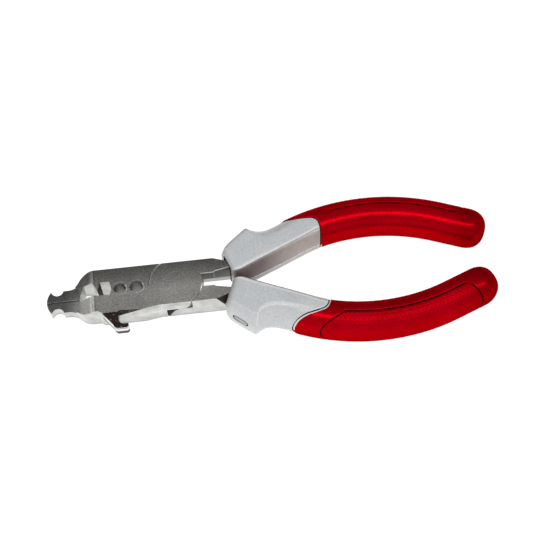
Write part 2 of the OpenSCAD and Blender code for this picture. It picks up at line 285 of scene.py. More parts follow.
class Nodes:
    """Short way to build one material's node tree."""

    def __init__(self, name):
        self.mat = bpy.data.materials.new(name)
        self.mat.use_nodes = True
        self.tree = self.mat.node_tree
        self.bsdf = self.tree.nodes["Principled BSDF"]
        self.coord = self.tree.nodes.new("ShaderNodeTexCoord").outputs["Object"]

    def add(self, kind, **values):
        node = self.tree.nodes.new(kind)
        for key, value in values.items():
            setattr(node, key, value)
        return node

    def link(self, a, b):
        self.tree.links.new(a, b)

    def noise(self, scale, detail=3.0, rough=0.55, stretch=None):
        tex = self.add("ShaderNodeTexNoise")
        tex.inputs["Scale"].default_value = scale
        tex.inputs["Detail"].default_value = detail
        tex.inputs["Roughness"].default_value = rough
        source = self.coord
        if stretch:
            mapping = self.add("ShaderNodeMapping")
            mapping.inputs["Scale"].default_value = stretch
            self.link(source, mapping.inputs["Vector"])
            source = mapping.outputs["Vector"]
        self.link(source, tex.inputs["Vector"])
        return tex.outputs["Fac"]

    def ramp(self, fac, stops):
        ramp = self.add("ShaderNodeValToRGB")
        elements = ramp.color_ramp.elements
        while len(elements) < len(stops):
            elements.new(0.5)
        for element, (place, colour) in zip(elements, stops):
            element.position = place
            element.color = (*colour, 1.0) if len(colour) == 3 else colour
        self.link(fac, ramp.inputs["Fac"])
        return ramp.outputs["Color"]

    def remap(self, value, low, high, to_low, to_high):
        node = self.add("ShaderNodeMapRange")
        for key, number in zip(("From Min", "From Max", "To Min", "To Max"), (low, high, to_low, to_high)):
            node.inputs[key].default_value = number
        self.link(value, node.inputs["Value"])
        return node.outputs["Result"]

    def mix(self, fac, a, b, blend="MIX"):
        node = self.add("ShaderNodeMix", data_type="RGBA", blend_type=blend)
        for value, socket in ((fac, node.inputs[0]), (a, node.inputs[6]), (b, node.inputs[7])):
            if hasattr(value, "is_output"):
                self.link(value, socket)
            elif isinstance(value, (int, float)):
                socket.default_value = value
            else:
                socket.default_value = (*value, 1.0)
        return node.outputs[2]

    def painted_light_ring(self, centre, inner, outer, direction, low, high):
        """Mask for painted highlights and shade: 1 in a ring round a point, from low to high along a
        direction; radii in mm.
        """
        offset = self.add("ShaderNodeVectorMath", operation="MULTIPLY_ADD")
        self.link(self.coord, offset.inputs[0])
        offset.inputs[1].default_value = (1 / MM, 1 / MM, 0)
        offset.inputs[2].default_value = (-centre, 0, 0)
        radius = self.add("ShaderNodeVectorMath", operation="LENGTH")
        self.link(offset.outputs["Vector"], radius.inputs[0])
        along = self.add("ShaderNodeVectorMath", operation="DOT_PRODUCT")
        self.link(offset.outputs["Vector"], along.inputs[0])
        along.inputs[1].default_value = (*direction, 0)
        inside = self.remap(radius.outputs["Value"], inner - 0.06, inner + 0.06, 0, 1)
        outside = self.remap(radius.outputs["Value"], outer - 0.06, outer + 0.06, 1, 0)
        side = self.remap(along.outputs["Value"], low, high, 0, 1)
        both = self.add("ShaderNodeMath", operation="MULTIPLY")
        self.link(inside, both.inputs[0])
        self.link(outside, both.inputs[1])
        result = self.add("ShaderNodeMath", operation="MULTIPLY")
        self.link(both.outputs[0], result.inputs[0])
        self.link(side, result.inputs[1])
        return result.outputs[0]

    def facing(self, direction):
        """How squarely the surface faces a direction fixed to the tool, 1 when it faces it fully."""
        dot = self.add("ShaderNodeVectorMath", operation="DOT_PRODUCT")
        self.link(self.tree.nodes["Texture Coordinate"].outputs["Normal"], dot.inputs[0])
        dot.inputs[1].default_value = direction
        return dot.outputs["Value"]

    def axis(self, letter):
        split = self.add("ShaderNodeSeparateXYZ")
        self.link(self.coord, split.inputs[0])
        return split.outputs[letter]

    def bump(self, height, distance, strength):
        node = self.add("ShaderNodeBump")
        node.inputs["Distance"].default_value = distance
        node.inputs["Strength"].default_value = strength
        self.link(height, node.inputs["Height"])
        return node.outputs["Normal"]

    def finish(self, colour, rough, normal, **sockets):
        self.link(colour, self.bsdf.inputs["Base Color"])
        self.link(rough, self.bsdf.inputs["Roughness"])
        self.link(normal, self.bsdf.inputs["Normal"])
        for key, value in sockets.items():
            self.bsdf.inputs[key.replace("_", " ").title().replace("Ior", "IOR")].default_value = value
        return self.mat


def satin_steel():
    """Ground flat faces: warm grey with a fine grain and darker arms; painted shade at the nose and toward
    the back edge, painted light and shade on the slope, and painted highlights along the slope's edge, the
    nose's parting line, the disc's edge and round the holes, which also get painted shade at their upper
    left.
    """
    m = Nodes("jaw_steel_satin")
    grain = m.noise(1500, 4, 0.75)
    cloud = m.noise(160, 3, 0.6)
    # Colour stops along X, painted shade and light: a dark nose, a lighter slope, then line, a painted
    # highlight on the slope's edge with a dark line after it; flat and arm are the faces' own tones.
    nose = (0.13, 0.127, 0.123)
    slope = (0.37, 0.36, 0.345)
    line = (0.75, 0.74, 0.71)
    flat = (0.32, 0.31, 0.292)
    arm = (0.16, 0.155, 0.148)
    painted_light_x = m.ramp(
        m.remap(m.axis("X"), -0.054, 0.034, 0, 1),
        [(0.0, nose), (0.1, nose), (0.2, slope), (0.224, slope), (0.23, line), (0.243, line),
         (0.246, (0.2, 0.195, 0.19)), (0.254, flat), (0.45, flat), (0.62, (0.37, 0.36, 0.34)),
         (0.8, (0.32, 0.31, 0.29)), (1.0, arm)],
    )
    # Painted shade along Y: the faces grow darker toward the back edge.
    painted_shade_y = m.ramp(
        m.remap(m.axis("Y"), -0.010, 0.0095, 0, 1),
        [(0.0, (1.0, 1.0, 1.0)), (0.4, (1.1, 1.1, 1.1)), (0.6, (0.82, 0.82, 0.82)), (0.8, (0.55, 0.55, 0.55)),
         (0.96, (0.42, 0.42, 0.41)), (1.0, (0.25, 0.25, 0.25))],
    )
    colour = m.mix(1.0, painted_light_x, painted_shade_y, "MULTIPLY")
    stain = m.ramp(m.noise(900, 4, 0.7), [(0.42, (0.25, 0.22, 0.2)), (0.55, (1.0, 1.0, 1.0))])
    at_arms = m.remap(m.axis("X"), 0.024, 0.030, 0, 1)
    colour = m.mix(at_arms, colour, m.mix(1.0, colour, stain, "MULTIPLY"))
    # Painted highlight: pale arcs along the front disc's edge, on two opposite sides.
    for direction in ((-0.707, 0.707), (0.707, -0.707)):
        colour = m.mix(m.painted_light_ring(0, 10.15, 10.5, direction, 7.3, 7.6), colour, (0.5, 0.49, 0.48))
    # Painted light and shade round each hole: a pale crescent at lower right, a dark arc at upper left and a
    # pale rim above it.
    for x, r in ((SMALL_HOLE_X, SMALL_HOLE_R), (LARGE_HOLE_X, LARGE_HOLE_R)):
        colour = m.mix(m.painted_light_ring(x, r, r + 0.5, (0.6, -0.8), 0.9, 2.0), colour, (0.8, 0.79, 0.76))
        colour = m.mix(m.painted_light_ring(x, r, r + 0.32, (-0.8, 0.6), 0.6, 1.6), colour, (0.03, 0.03, 0.03))
        colour = m.mix(m.painted_light_ring(x, r + 0.3, r + 0.55, (-0.2, 0.98), 1.0, 2.4), colour, (0.5, 0.49, 0.48))
    # Painted light and shade on the slope: brighter on its -Y side, darker on its +Y side.
    slope_painted_light = m.ramp(
        m.remap(m.axis("Y"), -0.008, 0.008, 0, 1),
        [(0.0, (1.5, 1.5, 1.48)), (0.45, (1.35, 1.35, 1.33)), (0.6, (0.78, 0.78, 0.78)),
         (1.0, (0.65, 0.65, 0.65))],
    )
    at_slope = m.ramp(
        m.remap(m.axis("X"), -0.043, -0.0335, 0, 1),
        [(0.0, (0, 0, 0)), (0.5, FULL), (0.97, FULL), (1.0, (0, 0, 0))],
    )
    colour = m.mix(at_slope, colour, m.mix(1.0, colour, slope_painted_light, "MULTIPLY"))
    # At the nose: a dark line along the parting gap, with a painted highlight just on its +Y side.
    parting = m.ramp(
        m.remap(m.axis("Y"), -0.0005, 0.0005, 0, 1),
        [(0.0, FULL), (0.14, FULL), (0.2, (0.1, 0.1, 0.1)), (0.5, (0.1, 0.1, 0.1)), (0.52, (3.0, 3.0, 2.9)),
         (0.72, (2.4, 2.4, 2.3)), (0.8, FULL)],
    )
    at_nose = m.remap(m.axis("X"), -0.0390, -0.0386, 1, 0)
    colour = m.mix(at_nose, colour, m.mix(1.0, colour, parting, "MULTIPLY"))
    speckle = m.ramp(grain, [(0.28, (0.6, 0.6, 0.6)), (0.5, (1, 1, 1)), (0.72, (1.45, 1.45, 1.42))])
    blotch = m.ramp(cloud, [(0.3, (0.9, 0.9, 0.9)), (0.7, (1.08, 1.08, 1.08))])
    mottled = m.mix(1.0, m.mix(1.0, colour, speckle, "MULTIPLY"), blotch, "MULTIPLY")
    rough = m.remap(grain, 0.3, 0.7, 0.36, 0.5)
    normal = m.bump(grain, 0.00003, 0.5)
    return m.finish(mottled, rough, normal, metallic=1.0)


def bright_steel():
    """Machined edges and sides: bright, with faint grinding lines, and painted shade along the back edge."""
    m = Nodes("jaw_steel_bright")
    level = 0.64
    back_edge_painted_shade = (0.7, 0.7, 0.7)
    lines = m.noise(900, 3, 0.6, (0.25, 1.0, 4.0))
    cloud = m.noise(220, 2, 0.5)
    colour = m.ramp(
        lines,
        [(0.25, (level * 0.84, level * 0.83, level * 0.8)), (0.75, (level, level, level * 0.98))],
    )
    # Painted shade by height: darker along the back edge, with a slight dip just below the top.
    height = m.ramp(
        m.remap(m.axis("Z"), -0.0004, 0.0124, 0, 1),
        [(0.0, back_edge_painted_shade), (0.09, back_edge_painted_shade), (0.16, (0.9, 0.9, 0.9)), (0.5, FULL),
         (0.86, (0.92, 0.92, 0.92)), (1.0, FULL)],
    )
    blotch = m.ramp(cloud, [(0.3, (0.72, 0.73, 0.72)), (0.7, (1.1, 1.1, 1.1))])
    colour = m.mix(1.0, m.mix(1.0, colour, height, "MULTIPLY"), blotch, "MULTIPLY")
    rough = m.remap(cloud, 0.3, 0.7, 0.16, 0.30)
    normal = m.bump(lines, 0.00002, 0.35)
    return m.finish(colour, rough, normal, metallic=1.0)


def hook_painted_light_steel():
    """Pressed hook: painted light and shade in bands along its height, bright bands for its highlights, a
    dark line near the top and black along the back edge.
    """
    m = Nodes("hook_painted_light_steel")
    grain = m.noise(800, 3, 0.6)
    # Painted light and shade: the hook's colour is set by height alone.
    lines = m.ramp(
        m.remap(m.axis("Z"), 0.0066, 0.0119, 0, 1),
        [(0.0, (0.02, 0.02, 0.02)), (0.26, (0.02, 0.02, 0.02)), (0.36, (0.8, 0.8, 0.77)),
         (0.62, (0.9, 0.9, 0.88)), (0.68, (0.3, 0.28, 0.25)), (0.76, (0.3, 0.27, 0.24)),
         (0.84, (0.75, 0.75, 0.72)), (1.0, (0.7, 0.7, 0.68))],
    )
    speckle = m.ramp(grain, [(0.3, (0.88, 0.88, 0.87)), (0.7, (1, 1, 1))])
    colour = m.mix(1.0, lines, speckle, "MULTIPLY")
    normal = m.bump(grain, 0.00002, 0.4)
    return m.finish(colour, m.remap(grain, 0.3, 0.7, 0.18, 0.3), normal, metallic=1.0)


def bore_painted_shade_steel():
    """Walls of the round crimp holes and the shaded part of their chamfers: mid grey, painted shade darker
    than the sides, with reaming rings.
    """
    m = Nodes("jaw_steel_bore_painted_shade")
    rings = m.noise(1500, 3, 0.6, (0.2, 0.2, 3.0))
    colour = m.ramp(rings, [(0.3, (0.17, 0.165, 0.158)), (0.7, (0.32, 0.31, 0.3))])
    normal = m.bump(rings, 0.00003, 0.5)
    return m.finish(colour, m.remap(rings, 0.3, 0.7, 0.4, 0.55), normal, metallic=1.0)


def arm_steel():
    """Inner side of the upper arm: dark over its front part, bright near its back, with a pale band along the
    top.
    """
    m = Nodes("jaw_steel_arm")
    grain = m.noise(500, 4, 0.65, (0.4, 1.0, 1.0))
    wobble = m.add("ShaderNodeMath", operation="MULTIPLY_ADD")
    m.link(grain, wobble.inputs[0])
    wobble.inputs[1].default_value = 0.0012
    m.link(m.axis("Z"), wobble.inputs[2])
    colour = m.ramp(
        m.remap(wobble.outputs[0], 0.0, 0.0125, 0, 1),
        [(0.0, (0.3, 0.29, 0.28)), (0.24, (0.42, 0.41, 0.39)), (0.29, (0.1, 0.098, 0.094)),
         (0.7, (0.055, 0.055, 0.052)), (0.93, (0.03, 0.03, 0.028)), (0.96, (0.6, 0.6, 0.58))],
    )
    normal = m.bump(grain, 0.00003, 0.4)
    return m.finish(colour, m.remap(grain, 0.3, 0.7, 0.24, 0.4), normal, metallic=1.0)


def edge_highlight_steel():
    """Burnished edges with fine scratches, in a pale, partly matte steel that paints their highlight in, so
    they look pale from every side.
    """
    m = Nodes("jaw_steel_edge_highlight")
    grain = m.noise(700, 3, 0.6)
    colour = m.ramp(grain, [(0.3, (0.5, 0.49, 0.47)), (0.7, (0.8, 0.79, 0.77))])
    normal = m.bump(grain, 0.00002, 0.4)
    return m.finish(colour, m.remap(grain, 0.3, 0.7, 0.4, 0.5), normal, metallic=0.35)


def painted_shade_steel():
    """Near-black matte steel: painted shade on facets, walls and edges where shade falls."""
    m = Nodes("jaw_steel_painted_shade")
    grain = m.noise(700, 4, 0.65)
    colour = m.ramp(
        grain,
        [(0.3, (0.012, 0.009, 0.009)), (0.6, (0.035, 0.02, 0.018)), (0.72, (0.3, 0.27, 0.25))],
    )
    rough = m.remap(grain, 0.3, 0.7, 0.45, 0.6)
    normal = m.bump(grain, 0.00005, 0.5)
    return m.finish(colour, rough, normal, metallic=0.1, specular_ior_level=0.1)


def moulded_plastic(name, colour, tint, rough_low, rough_high, **sockets):
    """Moulded plastic with a fine spark texture and slight clouding."""
    m = Nodes(name)
    fine = m.noise(2200, 3, 0.6)
    cloud = m.noise(90, 3, 0.55)
    base = m.ramp(cloud, [(0.3, colour), (0.7, tint)])
    base = m.mix(1.0, base, m.ramp(fine, [(0.25, (0.93,) * 3), (0.75, (1.05,) * 3)]), "MULTIPLY")
    rough = m.remap(fine, 0.3, 0.7, rough_low, rough_high)
    normal = m.bump(fine, 0.00004, 0.6)
    return m.finish(base, rough, normal, **sockets)


def red_plastic(name, rough_low, rough_high):
    """Glossy red plastic with a metallic depth, and painted shade toward the ends of the handles."""
    m = Nodes(name)
    fine = m.noise(1500, 3, 0.6)
    cloud = m.noise(90, 3, 0.55)
    base = m.ramp(cloud, [(0.3, (0.42, 0.0, 0.004)), (0.7, (0.52, 0.0, 0.008))])
    # Painted shade: darker toward the ends of the handles.
    base = m.mix(m.remap(m.axis("X"), 0.108, 0.124, 0, 0.5), base, (0.14, 0.0, 0.001))
    base = m.mix(1.0, base, m.ramp(fine, [(0.25, (0.9,) * 3), (0.75, (1.08,) * 3)]), "MULTIPLY")
    normal = m.bump(fine, 0.00002, 0.6)
    return m.finish(
        base, m.remap(fine, 0.3, 0.7, rough_low, rough_high), normal,
        metallic=0.5, specular_ior_level=0.0, specular_tint=(0.45, 0.0, 0.02, 1),
    )


def collar_plastic():
    """Light grey plastic: cool on broad faces; painted shade, warm and darker, on the inner sides between the
    handles and more so near the joint; painted shade on faces turned out toward -X and +Y; a pale painted
    highlight along the crests.
    """
    m = Nodes("collar_grey")
    fine = m.noise(1100, 4, 0.7)
    cloud = m.noise(120, 3, 0.6)
    base = m.ramp(cloud, [(0.3, (0.615, 0.63, 0.64)), (0.7, (0.685, 0.69, 0.69))])
    # Painted shade on the inner sides between the handles: a warm, darker grey.
    inner_painted_shade = m.ramp(cloud, [(0.3, (0.43, 0.385, 0.355)), (0.7, (0.52, 0.475, 0.44))])
    split = m.add("ShaderNodeSeparateXYZ")
    m.link(m.tree.nodes["Texture Coordinate"].outputs["Normal"], split.inputs[0])
    side = m.add("ShaderNodeMath", operation="SIGN")
    m.link(m.axis("Y"), side.inputs[0])
    inward = m.add("ShaderNodeMath", operation="MULTIPLY")
    m.link(side.outputs[0], inward.inputs[0])
    m.link(split.outputs["Y"], inward.inputs[1])
    inner_shade_mask = m.remap(inward.outputs[0], -0.35, -0.8, 0, 1)
    # Painted shade near the joint: darker and more violet toward the collar's front.
    joint_shade_mask = m.remap(m.axis("X"), 0.035, 0.047, 0.7, 0)
    inner_painted_shade = m.mix(joint_shade_mask, inner_painted_shade, (0.13, 0.08, 0.085))
    colour = m.mix(inner_shade_mask, base, inner_painted_shade)
    # Painted shade: a brown darkening on faces turned out toward -X and +Y.
    outer_painted_shade = m.remap(m.facing((-0.8, 0.6, 0.0)), 0.2, 0.9, 0, 0.8)
    colour = m.mix(outer_painted_shade, colour, (0.3, 0.25, 0.21))
    # Painted highlight: pale along the crests, from the mesh's crest attribute.
    crest_highlight_node = m.add("ShaderNodeAttribute", attribute_name="crest")
    colour = m.mix(crest_highlight_node.outputs["Fac"], colour, (0.9, 0.9, 0.89))
    colour = m.mix(1.0, colour, m.ramp(fine, [(0.28, (0.84,) * 3), (0.72, (1.12,) * 3)]), "MULTIPLY")
    normal = m.bump(fine, 0.00004, 0.7)
    return m.finish(colour, m.remap(fine, 0.3, 0.7, 0.27, 0.38), normal)


SATIN = satin_steel()
BRIGHT = bright_steel()
HOOK_PAINTED_LIGHT = hook_painted_light_steel()
PAINTED_SHADE = painted_shade_steel()
BORE_PAINTED_SHADE = bore_painted_shade_steel()
ARM = arm_steel()
EDGE_HIGHLIGHT = edge_highlight_steel()
CORE = moulded_plastic(
    "core_black", (0.006, 0.006, 0.007), (0.011, 0.011, 0.011), 0.5, 0.6, specular_ior_level=0.15,
)
COLLAR = collar_plastic()
LIP_GREY = moulded_plastic("lip_grey", (0.74, 0.74, 0.75), (0.8, 0.8, 0.8), 0.3, 0.4)
BADGE = moulded_plastic("badge_grey", (0.42, 0.41, 0.40), (0.5, 0.49, 0.48), 0.3, 0.42)
GRIP = red_plastic("grip_red", 0.24, 0.32)
PAD = red_plastic("pad_red", 0.36, 0.5)
STEELS = (SATIN, BRIGHT, PAINTED_SHADE, HOOK_PAINTED_LIGHT, BORE_PAINTED_SHADE, ARM, EDGE_HIGHLIGHT)


# ---------------------------------------------------------------- steel parts
def steel_piece(node, name, body, pick, edge_width):
    """A bevelled copy of a CAD steel part: pick gives a face's material, edge_width an edge's bevel."""
    widest = 0.5
    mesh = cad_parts[node].data.copy()
    mesh.name = name
    obj = bpy.data.objects.new(name, mesh)
    SCENE.collection.objects.link(obj)
    bm = bmesh.new()
    bm.from_mesh(mesh)
    bmesh.ops.remove_doubles(bm, verts=bm.verts, dist=1e-6)
    bmesh.ops.dissolve_limit(bm, angle_limit=math.radians(0.8), verts=bm.verts, edges=bm.edges)
    weight = bm.edges.layers.float.new("bevel_weight_edge")
    for edge in bm.edges:
        if len(edge.link_faces) == 2 and edge.calc_face_angle() > math.radians(28):
            middle = (edge.verts[0].co + edge.verts[1].co) / (2 * MM)
            edge[weight] = edge_width(middle) / widest
    bm.to_mesh(mesh)
    bm.free()
    mesh.materials.clear()
    for mat in STEELS:
        mesh.materials.append(mat)
    for poly in mesh.polygons:
        poly.material_index = STEELS.index(pick(poly.center / MM, poly.normal))
    mod = obj.modifiers.new("edges", "BEVEL")
    mod.width = widest * MM
    mod.segments = 2
    mod.limit_method = "WEIGHT"
    mod.material = STEELS.index(EDGE_HIGHLIGHT)
    mod.use_clamp_overlap = True
    apply_modifiers(obj)
    # Bevels where shade falls get the near-black steel, painted shade.
    for poly in obj.data.polygons:
        if STEELS[poly.material_index] == EDGE_HIGHLIGHT and painted_shade_edge(poly.center / MM, poly.normal):
            poly.material_index = STEELS.index(PAINTED_SHADE)
    shade(obj, 30)
    level = obj.modifiers.new("normals", "WEIGHTED_NORMAL")
    level.weight = 100
    level.keep_sharp = True
    apply_modifiers(obj)
    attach(obj, body)
    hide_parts(node)
    return obj


def painted_shade_edge(c, n):
    """True for edges that get painted shade: in the bores' shadow, and over the sockets."""
    over_socket = -38 < c.x < -24 and 1.5 < c.y < 5 and n.z > 0.3
    return (in_bore_shadow(c) and abs(n.z) > 0.3) or over_socket


def in_bore_shadow(c):
    """True for the upper left part of a crimp hole's edge, which gets painted shade."""
    for x in (SMALL_HOLE_X, LARGE_HOLE_X):
        if math.hypot(c.x - x, c.y) < HOLE_REACH:
            return (c.y - 0.8 * (c.x - x)) > 0
    return False


def jaw_pick(c, n):
    """Steel of a face at c mm: satin on flat faces; near-black painted shade on sideways facets tilted up and
    on the second socket's walls; mid grey painted shade in the holes and their shaded chamfers; pale painted
    highlight on the other chamfers, the disc's edge and the first socket's wall.
    """
    from_hole = min(math.hypot(c.x - SMALL_HOLE_X, c.y), math.hypot(c.x - LARGE_HOLE_X, c.y))
    if from_hole < HOLE_REACH and abs(n.z) < 0.9:
        return EDGE_HIGHLIGHT if abs(n.z) > 0.3 and not in_bore_shadow(c) else BORE_PAINTED_SHADE
    if 9.5 < math.hypot(c.x, c.y) < 11.2 and abs(n.z) < 0.4 and c.x * c.y < 0:
        return EDGE_HIGHLIGHT
    if abs(n.z) > 0.55:
        return SATIN
    if -33 < c.x < -24 and abs(c.y) < 5 and n.x > 0.35:
        return PAINTED_SHADE
    if -40 < c.x < -33 and abs(c.y) < 5 and n.x > 0.35:
        return EDGE_HIGHLIGHT
    if n.z > 0.06 and abs(n.y) > 0.7:
        return PAINTED_SHADE
    if c.x > 10.5 and n.y < -0.3 and c.y > 0.5:
        return ARM
    return BRIGHT


def jaw_edge(m):
    """Bevel in mm: wider round the front disc and along the parting line at the nose."""
    if m.z > 11 and 9.4 < math.hypot(m.x, m.y) < 11.0:
        return 0.4
    if m.x < -38 and abs(m.y) < 0.4:
        return 0.24
    return 0.14


def rivet_pick(_, n):
    return SATIN if abs(n.z) > 0.5 else BRIGHT


def rivet_edge(_):
    return 0.03


def hook_pick(_, n):
    return PAINTED_SHADE if n.z > 0.5 else HOOK_PAINTED_LIGHT


def hook_edge(_):
    return 0.2


steel_piece("rear_half", "rear_half_steel", "rear_lever", jaw_pick, jaw_edge)
steel_piece("front_half", "front_half_steel", "front_lever", jaw_pick, jaw_edge)
steel_piece("pivot_rivet", "pivot_rivet_steel", "front_lever", rivet_pick, rivet_edge)
steel_piece("side_hook", "side_hook_steel", "front_lever", hook_pick, hook_edge)


# ---------------------------------------------------------------- collar
# Points along each stretch of the collar's half section, from the outer side round to the inner one.
QUARTER = 16
FLAT = 10
ROUND = 6
SIDE = 12
SEAM_GUESS = 30.0


def collar_half(s, outer_table):
    """Front half of the collar's section, outer side first, as (n, w) pairs."""
    outer = smooth(s, outer_table, 0.7)
    inner = lookup(s, INNER)
    top = lookup(s, THICK)
    edge = smooth(s, PLATEAU, 0.25)
    ridge = lookup(s, RIDGE)
    power = smooth(s, OUTER_POWER, 0.7)
    side_power = lookup(s, INNER_POWER)
    radius = 0.9
    turn = math.radians(66)
    points = []
    for i in range(QUARTER):
        a = math.pi / 2 * (i / QUARTER) ** 0.85
        n = edge + (outer - edge) * math.cos(a) ** (2 / power)
        w = top * math.sin(a) ** (2 / power)
        points.append((n, w))
    for i in range(FLAT):
        n = edge - (edge + ridge - radius) * i / FLAT
        points.append((n, top + 0.1 * math.sin(math.pi * i / FLAT)))
    for i in range(ROUND):
        a = turn * i / ROUND
        points.append((-ridge + radius - radius * math.sin(a), top - radius * (1 - math.cos(a))))
    start_n = -ridge + radius - radius * math.sin(turn)
    start_w = top - radius * (1 - math.cos(turn))
    for i in range(SIDE):
        t = i / SIDE
        x = math.sin(math.pi / 2 * t * 0.93) ** (2 / side_power)
        z = math.cos(math.pi / 2 * t * 0.93) ** (2 / side_power)
        points.append((start_n - (inner + start_n) * x, start_w * z))
    points += [(-inner, 0.62), (-inner + 0.07, 0.42), (-inner - 0.16, 0.3), (-inner - 0.18, 0.0)]
    return points


def collar_ring(stations, outer_table):
    """Closed ring of (s, n, w), where stations[j] is column j's station."""
    half = len(collar_half(10, outer_table))
    ring = []
    for j in range(2 * (half - 1)):
        front = j < half
        k = j if front else 2 * (half - 1) - j
        s = stations[j]
        n, w = collar_half(s, outer_table)[k]
        ring.append((s, n, w if front else -w))
    return ring


def collar_seam(outer_table):
    """The collar's rear edge, where its surface meets the seam, as (s, n, w)."""
    count = 2 * (len(collar_half(10, outer_table)) - 1)
    seams = [SEAM_GUESS] * count
    for _ in range(6):
        seams = [seam_station(n, w) for _, n, w in collar_ring(seams, outer_table)]
    return collar_ring(seams, outer_table)


def crest_highlight_level(s, j, count, scoop_highlight):
    """Painted highlight on the collar at column j: on the inner ridge, guard's crest, scoop's edge, mould
    line and the seam's edge.
    """
    half = count // 2
    k = j if j <= half else count - j
    ridge = abs(k - QUARTER - FLAT - 1.2) < 1.6
    scoop = abs(k - QUARTER) < 1.1 and 13.5 < s < 31
    guard = abs(s - 13.65) < 0.32 and 3 < k < QUARTER
    if s > 39:
        return 0.8
    if ridge:
        return 0.75 if s > 1 else 0.4
    if scoop:
        return scoop_highlight * min(1.0, (31 - s) / 5)
    if k >= half - 2 and s > 8:
        return 0.6
    return 0.45 if guard else 0.0


def build_collar(name, outer_table, scoop_highlight):
    """Closed collar from its front face to the seam; its last rings turn in at the seam's edge."""
    seam = collar_seam(outer_table)
    count = len(seam)
    rows = [0, 0.15, 0.35, 0.6, 1.0, 1.5, 2.1, 3, 4.2, 5.6, 7, 8.4, 9.8, 11, 12, 12.6, 13.0, 13.3]
    rows += [13.55, 13.8, 14.1, 14.5, 15, 15.7, 16.6, 17.6, 18.8, 20, 21.5, 23, 24.5]
    rings = [collar_ring([s] * count, outer_table) for s in rows]
    steps = 16
    straight = rows[-1]
    for i in range(1, steps + 1):
        stations = [straight + (point[0] - 0.4 - straight) * i / steps for point in seam]
        rings.append(collar_ring(stations, outer_table))
    verts = [at(0.0, n * 0.8, w * 0.86) for _, n, w in rings[0]]
    for ring in rings:
        verts += [at(s, n, w) for s, n, w in ring]
    for back, scale in ((0.15, 0.993), (0.03, 0.978), (0.0, 0.955), (0.0, 0.72)):
        verts += [at(s - back, n * scale, w * scale) for s, n, w in seam]
    total = len(rings) + 5
    faces = ring_faces(total, count)
    verts.append(at(0.0, 0, 0))
    verts.append(at(33.0, 0, 0))
    first, end = total * count, total * count + 1
    faces += [(first, (j + 1) % count, j) for j in range(count)]
    base = (total - 1) * count
    faces += [(end, base + j, base + (j + 1) % count) for j in range(count)]
    stations = [0.0] + rows
    stations += [straight + (SEAM_GUESS - straight) * i / steps for i in range(1, steps + 1)]
    stations += [40.0] * 4
    crest = []
    for s in stations:
        crest += [crest_highlight_level(s, j, count, scoop_highlight) for j in range(count)]
    crest += [0.0, 0.0]
    return mesh_object(name, verts, faces, 32, crest=crest)


def prism(outline, frame_matrix, depth_low, depth_high, name):
    """Closed prism over an outline of (x, y) points; what it cuts gets the black core's material, which is
    painted shade in the collar's mouth and a dark ring round the badge.
    """
    count = len(outline)
    verts = [frame_matrix @ Vector((x, y, depth_low)) for x, y in outline]
    verts += [frame_matrix @ Vector((x, y, depth_high)) for x, y in outline]
    faces = [(j, (j + 1) % count, count + (j + 1) % count, count + j) for j in range(count)]
    faces.append(tuple(range(count - 1, -1, -1)))
    faces.append(tuple(range(count, 2 * count)))
    obj = mesh_object(name, verts, faces, 30, [1] * len(faces))
    obj.data.materials.append(COLLAR)
    obj.data.materials.append(CORE)
    return obj


def rounded_box(half_x, half_y, radius, steps=6):
    points = []
    for cx, cy, start in ((1, 1, 0), (-1, 1, 90), (-1, -1, 180), (1, -1, 270)):
        for i in range(steps + 1):
            a = math.radians(start + 90 * i / steps)
            x = cx * (half_x - radius) + radius * math.cos(a)
            y = cy * (half_y - radius) + radius * math.sin(a)
            points.append((x, y))
    return points


def metres(points):
    return [(x * MM, y * MM) for x, y in points]


def mouth_matrix():
    """Frame at the collar's front, its Z running into the collar along the handle."""
    origin = at(0, 0, 0)
    ahead = (at(1, 0, 0) - origin).normalized()
    out = (at(0, 1, 0) - origin).normalized()
    up = ahead.cross(out)
    return Matrix(((out.x, up.x, ahead.x, origin.x), (out.y, up.y, ahead.y, origin.y),
                   (out.z, up.z, ahead.z, origin.z), (0, 0, 0, 1)))


def badge_matrix():
    """Frame on the guard's front slope, its Z pointing out of the badge."""
    foot = plan(7, 8.5)
    turn = ANGLE + math.radians(20)
    along = Vector((math.cos(turn), math.sin(turn), 0))
    up = Vector((0, 0, 1))
    out = Vector((-math.sin(turn), math.cos(turn), 0))
    origin = Vector((foot.x, foot.y, MID - 1.6)) * MM
    return Matrix(((along.x, up.x, out.x, origin.x), (along.y, up.y, out.y, origin.y),
                   (along.z, up.z, out.z, origin.z), (0, 0, 0, 1)))


def finished_collar(name, outer_table, scoop_highlight):
    """Collar with its mouth for the steel arm and its badge recess cut out."""
    piece = build_collar(name, outer_table, scoop_highlight)
    piece.data.materials.append(COLLAR)
    piece.data.materials.append(CORE)
    # The mouth's walls take the black core's material: painted shade.
    mouth = prism(metres(rounded_box(3.2, 6.85, 1.0)), mouth_matrix(), -3 * MM, 4.3 * MM, "mouth_cutter")
    cut(piece, mouth)
    recess = prism(metres(rounded_box(3.65, 2.0, 1.99, 8)), badge_matrix(), 0.55 * MM, 6 * MM, "badge_cutter")
    cut(piece, recess)
    shade(piece, 32)
    return piece


collar = finished_collar("upper_collar_shell", UPPER_OUTER, 0.0)
lower_moulding = finished_collar("lower_moulding", LOWER_OUTER, 0.6)
lower_collar = turned_over(lower_moulding, "lower_collar_shell")
bpy.data.objects.remove(lower_moulding)


